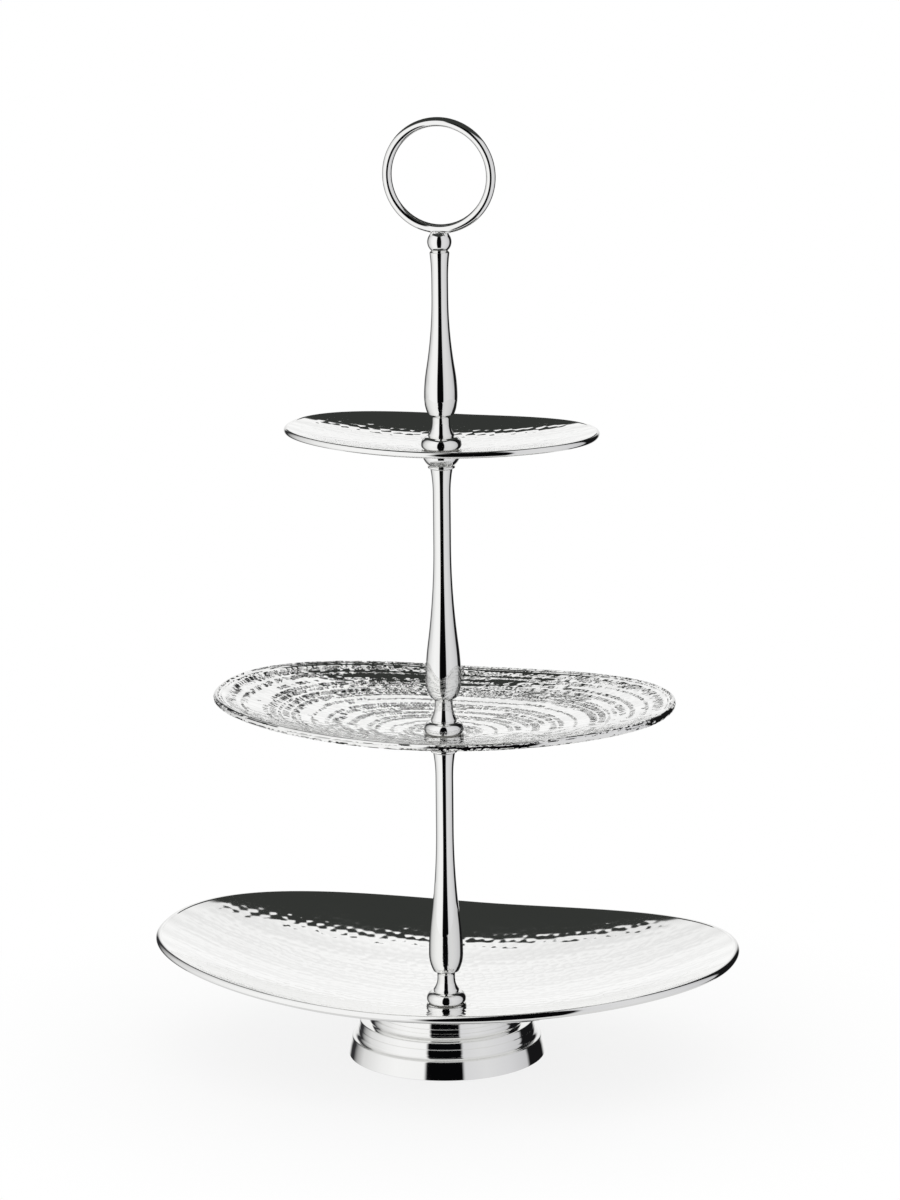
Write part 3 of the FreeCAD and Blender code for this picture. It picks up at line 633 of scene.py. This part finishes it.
# %% Dish sizes
HOLE_RADIUS = 3.08 * MM
WALL = 1.2 * MM
BEAD_RADIUS = {"lower": 2.0 * MM, "middle": 1.8 * MM, "upper": 1.6 * MM}
SIDE_RISE = {"lower": 23.3 * MM, "middle": 14.3 * MM, "upper": 7.3 * MM}
SQUARENESS = 2.2
SEAT_RADIUS = 11.5 * MM
SMOOTH_SEAT_RADIUS = 16 * MM
BEAD_END = math.radians(112)
EDGE_RINGS = 6
EDGE_WIDTH = 2 * MM
MARK_LIMITS = (6.0 * MM, 9.5 * MM)
MARK_PITCH = 5.6 * MM
MARK_CURVE = 72 * MM
MARK_ROW_SHARE = 0.87
MARK_SCATTER = 0.16
MARK_TILT = 0.012
TURNS = {"lower": 640, "middle": 560, "upper": 440}
RINGS = {"lower": 112, "middle": 98, "upper": 80}
UNDER_RINGS = 8
BEAD_STEPS = 17
DRAWN_UP_POWER = 5
RING_WELD = 0.00001
BEAD, INSIDE, UNDERSIDE = 0, 1, 2
print("a hammer mark is sunk", round((MARK_PITCH / 2) ** 2 / (2 * MARK_CURVE) / MM, 3), "mm")


# %% Section of a dish, from the top of the bead over the inside to the hole, back underneath, and up the bead
def dish_section(rings, bead):
    """Share of the way from hole to edge, inset from the edge, lift over the wall's middle and zone."""
    edge_inset = bead * (1 - math.cos(BEAD_END))
    section = [(1, edge_inset + EDGE_WIDTH * step / EDGE_RINGS, WALL / 2, INSIDE)
               for step in range(EDGE_RINGS)]
    for ring in range(rings + 1):
        share = 1 - ring / rings
        section.append((share, (edge_inset + EDGE_WIDTH) * share, WALL / 2, INSIDE))
    meeting = math.pi - math.asin(WALL / 2 / bead)
    for ring in range(UNDER_RINGS):
        share = ring / UNDER_RINGS
        section.append((share, bead * (1 - math.cos(meeting)) * share, -WALL / 2, UNDERSIDE))
    for step in range(BEAD_STEPS):
        angle = -meeting + (BEAD_END + meeting) * step / BEAD_STEPS
        section.append((1, bead * (1 - math.cos(angle)), bead * math.sin(angle), BEAD))
    return np.array(section)


print("section of the lower dish has", len(dish_section(RINGS["lower"], 2 * MM)), "points")


# %% Spin a ring of points round the stem
def spun_ring(name, count, turns):
    """A closed ring: a circle of points at radius 1, spun round the upright axis."""
    deselect()
    bpy.ops.mesh.primitive_circle_add(vertices=count, radius=0.5, location=(1, 0, 0),
                                      rotation=(math.pi / 2, 0, 0))
    ring = bpy.context.object
    ring.name = name
    bpy.ops.object.transform_apply(location=True, rotation=True, scale=True)
    bpy.ops.object.mode_set(mode="EDIT")
    bpy.ops.mesh.select_all(action="SELECT")
    bpy.ops.mesh.spin(steps=turns, angle=2 * math.pi, center=(0, 0, 0), axis=(0, 0, 1))
    bpy.ops.mesh.select_all(action="SELECT")
    bpy.ops.mesh.remove_doubles(threshold=RING_WELD)
    bpy.ops.object.mode_set(mode="OBJECT")
    return ring


def ring_places(ring, count):
    """For each point of a spun ring: its number in the section and its angle round the stem."""
    # The circle's first point is at its top, so with a count that four doesn't divide, as in the middle dish,
    # the numbers fall halfway between two points and round either way.
    points = np.empty(len(ring.data.vertices) * 3)
    ring.data.vertices.foreach_get("co", points)
    x, y, z = points.reshape(-1, 3).T
    number = np.rint(np.arctan2(z, np.hypot(x, y) - 1) / (2 * math.pi) * count).astype(int) % count
    return number, np.arctan2(y, x)


# %% The oval, the bowl and the hammer marks
def oval_radius(angle, half_length, half_width):
    """Distance from the stem to the edge in a direction, on an oval a little squarer than an ellipse."""
    along = np.abs(np.cos(angle)) / half_length
    across = np.abs(np.sin(angle)) / half_width
    return (along ** SQUARENESS + across ** SQUARENESS) ** (-1 / SQUARENESS)


def bowl_rise(end_share, side_share, end_rise, side_rise):
    """Height of the bowl over its seat, which grows with the square of the way out."""
    return end_rise * end_share ** 2 + side_rise * side_share ** 2


def smooth_step(value, low, high_end):
    """0 below low, 1 above high_end, and an even slope between."""
    share = np.clip((value - low) / (high_end - low), 0, 1)
    return share * share * (3 - 2 * share)


def hammer_marks(x, y, seed):
    """Depth of the hammered surface: shallow round hollows in staggered rows that meet in ridges."""
    chance = np.random.default_rng(seed)
    table_size = 128
    shift_x, shift_y, tilt_x, tilt_y = chance.uniform(-1, 1, (4, table_size, table_size))
    row_height = MARK_PITCH * MARK_ROW_SHARE
    row = np.rint(y / row_height).astype(int)
    nearest = np.full(x.shape, np.inf)
    lean = np.zeros(x.shape)
    for row_step in (-1, 0, 1):
        this_row = row + row_step
        stagger = 0.5 * (this_row % 2)
        column = np.rint(x / MARK_PITCH - stagger).astype(int)
        for column_step in (-1, 0, 1):
            this_column = column + column_step
            i, j = this_row % table_size, this_column % table_size
            dx = x - (this_column + stagger + MARK_SCATTER * shift_x[i, j]) * MARK_PITCH
            dy = y - (this_row * row_height + MARK_SCATTER * shift_y[i, j] * MARK_PITCH)
            square = dx * dx + dy * dy
            closer = square < nearest
            nearest = np.where(closer, square, nearest)
            lean = np.where(closer, dx * tilt_x[i, j] + dy * tilt_y[i, j], lean)
    return nearest / (2 * MARK_CURVE) + lean * MARK_TILT


# %% Build the three dishes
def hammered_dish(tier, seed):
    """A dish as a closed wall with a rolled edge and a hammered inside."""
    low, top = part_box(f"{tier}_dish")
    half_length, half_width = top[0], top[1]
    bead = BEAD_RADIUS[tier]
    section = dish_section(RINGS[tier], bead)
    ring = spun_ring(f"{tier}_hammered_dish", len(section), TURNS[tier])
    number, turn = ring_places(ring, len(section))
    share, inset, lift, zone = section[number].T
    angle = np.arctan2(half_width * np.sin(turn), half_length * np.cos(turn))
    edge = oval_radius(angle, half_length, half_width)
    radius = HOLE_RADIUS + (edge - HOLE_RADIUS) * share - inset
    x, y = radius * np.cos(angle), radius * np.sin(angle)
    at_bead = np.where(zone == BEAD, (edge - bead) / radius, 1.0)
    end_rise = top[2] - low[2] - WALL / 2 - bead
    bowl = bowl_rise(x * at_bead / half_length, y * at_bead / half_width, end_rise, SIDE_RISE[tier])
    bowl *= smooth_step(radius, SEAT_RADIUS * 0.95, SEAT_RADIUS * 1.3)
    to_edge = edge - radius
    drawn_up = (bead * math.sin(BEAD_END) - WALL / 2) * ((radius + bead) / edge) ** DRAWN_UP_POWER
    drawn_up *= zone == INSIDE
    marked = smooth_step(to_edge, *MARK_LIMITS) * smooth_step(radius, SEAT_RADIUS, SMOOTH_SEAT_RADIUS)
    marks = hammer_marks(x, y, seed) * marked * (zone == INSIDE)
    z = low[2] + WALL / 2 + lift + bowl + drawn_up + marks
    ring.data.vertices.foreach_set("co", np.column_stack((x, y, z)).ravel())
    ring.data.update()
    bpy.ops.object.mode_set(mode="EDIT")
    bpy.ops.mesh.select_all(action="SELECT")
    bpy.ops.mesh.normals_make_consistent(inside=False)
    bpy.ops.object.mode_set(mode="OBJECT")
    bpy.ops.object.shade_smooth()
    fit_piece(ring, f"{tier}_dish", f"{tier}_dish", "dish")


for seed, tier in enumerate(TIERS, start=11):
    hammered_dish(tier, seed)

# %% [markdown]
# The Standard view shows each colour as it is written.

# %% View
bpy.context.scene.view_settings.view_transform = "Standard"
